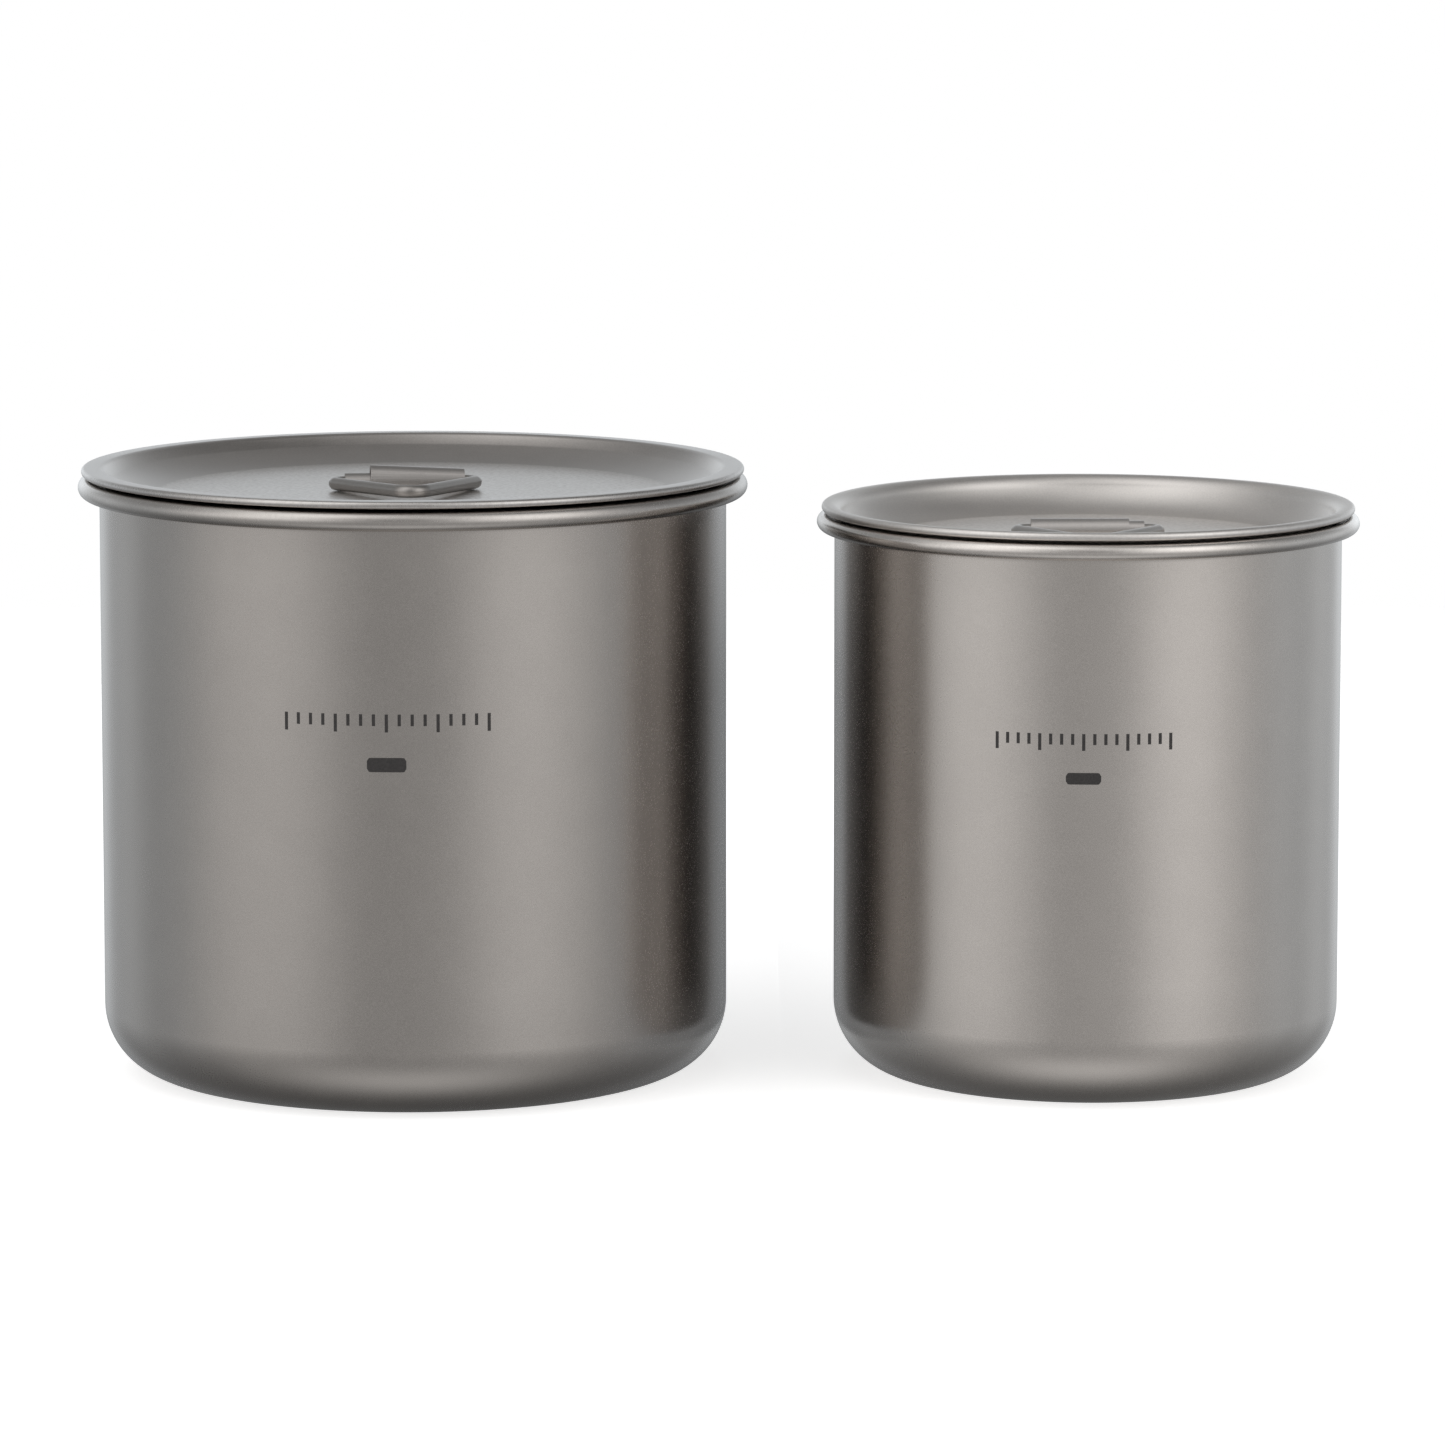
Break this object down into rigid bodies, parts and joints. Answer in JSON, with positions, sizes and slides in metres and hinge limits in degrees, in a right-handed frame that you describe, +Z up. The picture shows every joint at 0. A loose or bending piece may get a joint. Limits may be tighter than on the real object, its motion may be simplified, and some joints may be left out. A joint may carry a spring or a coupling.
{
  "type": "cooking pot set",
  "caption": "Lidded cooking pots of thin sheet metal with rolled rims and shallow dished lids; each lid has a folding triangular wire ring in a welded strap clip.",
  "frame": {"origin": "on the ground plane, under the middle of the whole set's box", "axes": "+Z up; +X from the large pot to the small pot; the rings' points face -Y, the front"},
  "size_m": [0.2012, 0.1052, 0.0959],
  "materials": {
    "pot_titanium": "bead-blasted warm grey titanium",
    "lid_titanium": "bead-blasted warm grey titanium, slightly lighter",
    "clip_titanium": "satin titanium sheet",
    "wire_titanium": "satin titanium wire"
  },
  "bodies": {
    "large_pot_body": {"large_pot": "pot_titanium"},
    "large_lid_body": {"large_lid": "lid_titanium", "large_lid_clip": "clip_titanium"},
    "large_ring_body": {"large_lid_ring": "wire_titanium"},
    "small_pot_body": {"small_pot": "pot_titanium"},
    "small_lid_body": {"small_lid": "lid_titanium", "small_lid_clip": "clip_titanium"},
    "small_ring_body": {"small_lid_ring": "wire_titanium"}
  },
  "joints": [
    {"name": "large_lid_lift", "type": "slide", "parent": "large_pot_body", "child": "large_lid_body", "axis": [0, 0, 1], "range_m": [0, 0.08]},
    {"name": "large_ring_fold", "type": "hinge", "parent": "large_lid_body", "child": "large_ring_body", "pos_m": [-0.0494, 0.0015, 0.09305], "axis": [-0.9945, -0.1045, 0], "range_deg": [0, 172]},
    {"name": "small_pot_lift", "type": "slide", "parent": "large_pot_body", "child": "small_pot_body", "axis": [0, 0, 1], "range_m": [0, 0.1]},
    {"name": "small_lid_lift", "type": "slide", "parent": "small_pot_body", "child": "small_lid_body", "axis": [0, 0, 1], "range_m": [0, 0.08]},
    {"name": "small_ring_fold", "type": "hinge", "parent": "small_lid_body", "child": "small_ring_body", "pos_m": [0.058, -0.0006, 0.08565], "axis": [-1, 0, 0], "range_deg": [0, 172]}
  ]
}
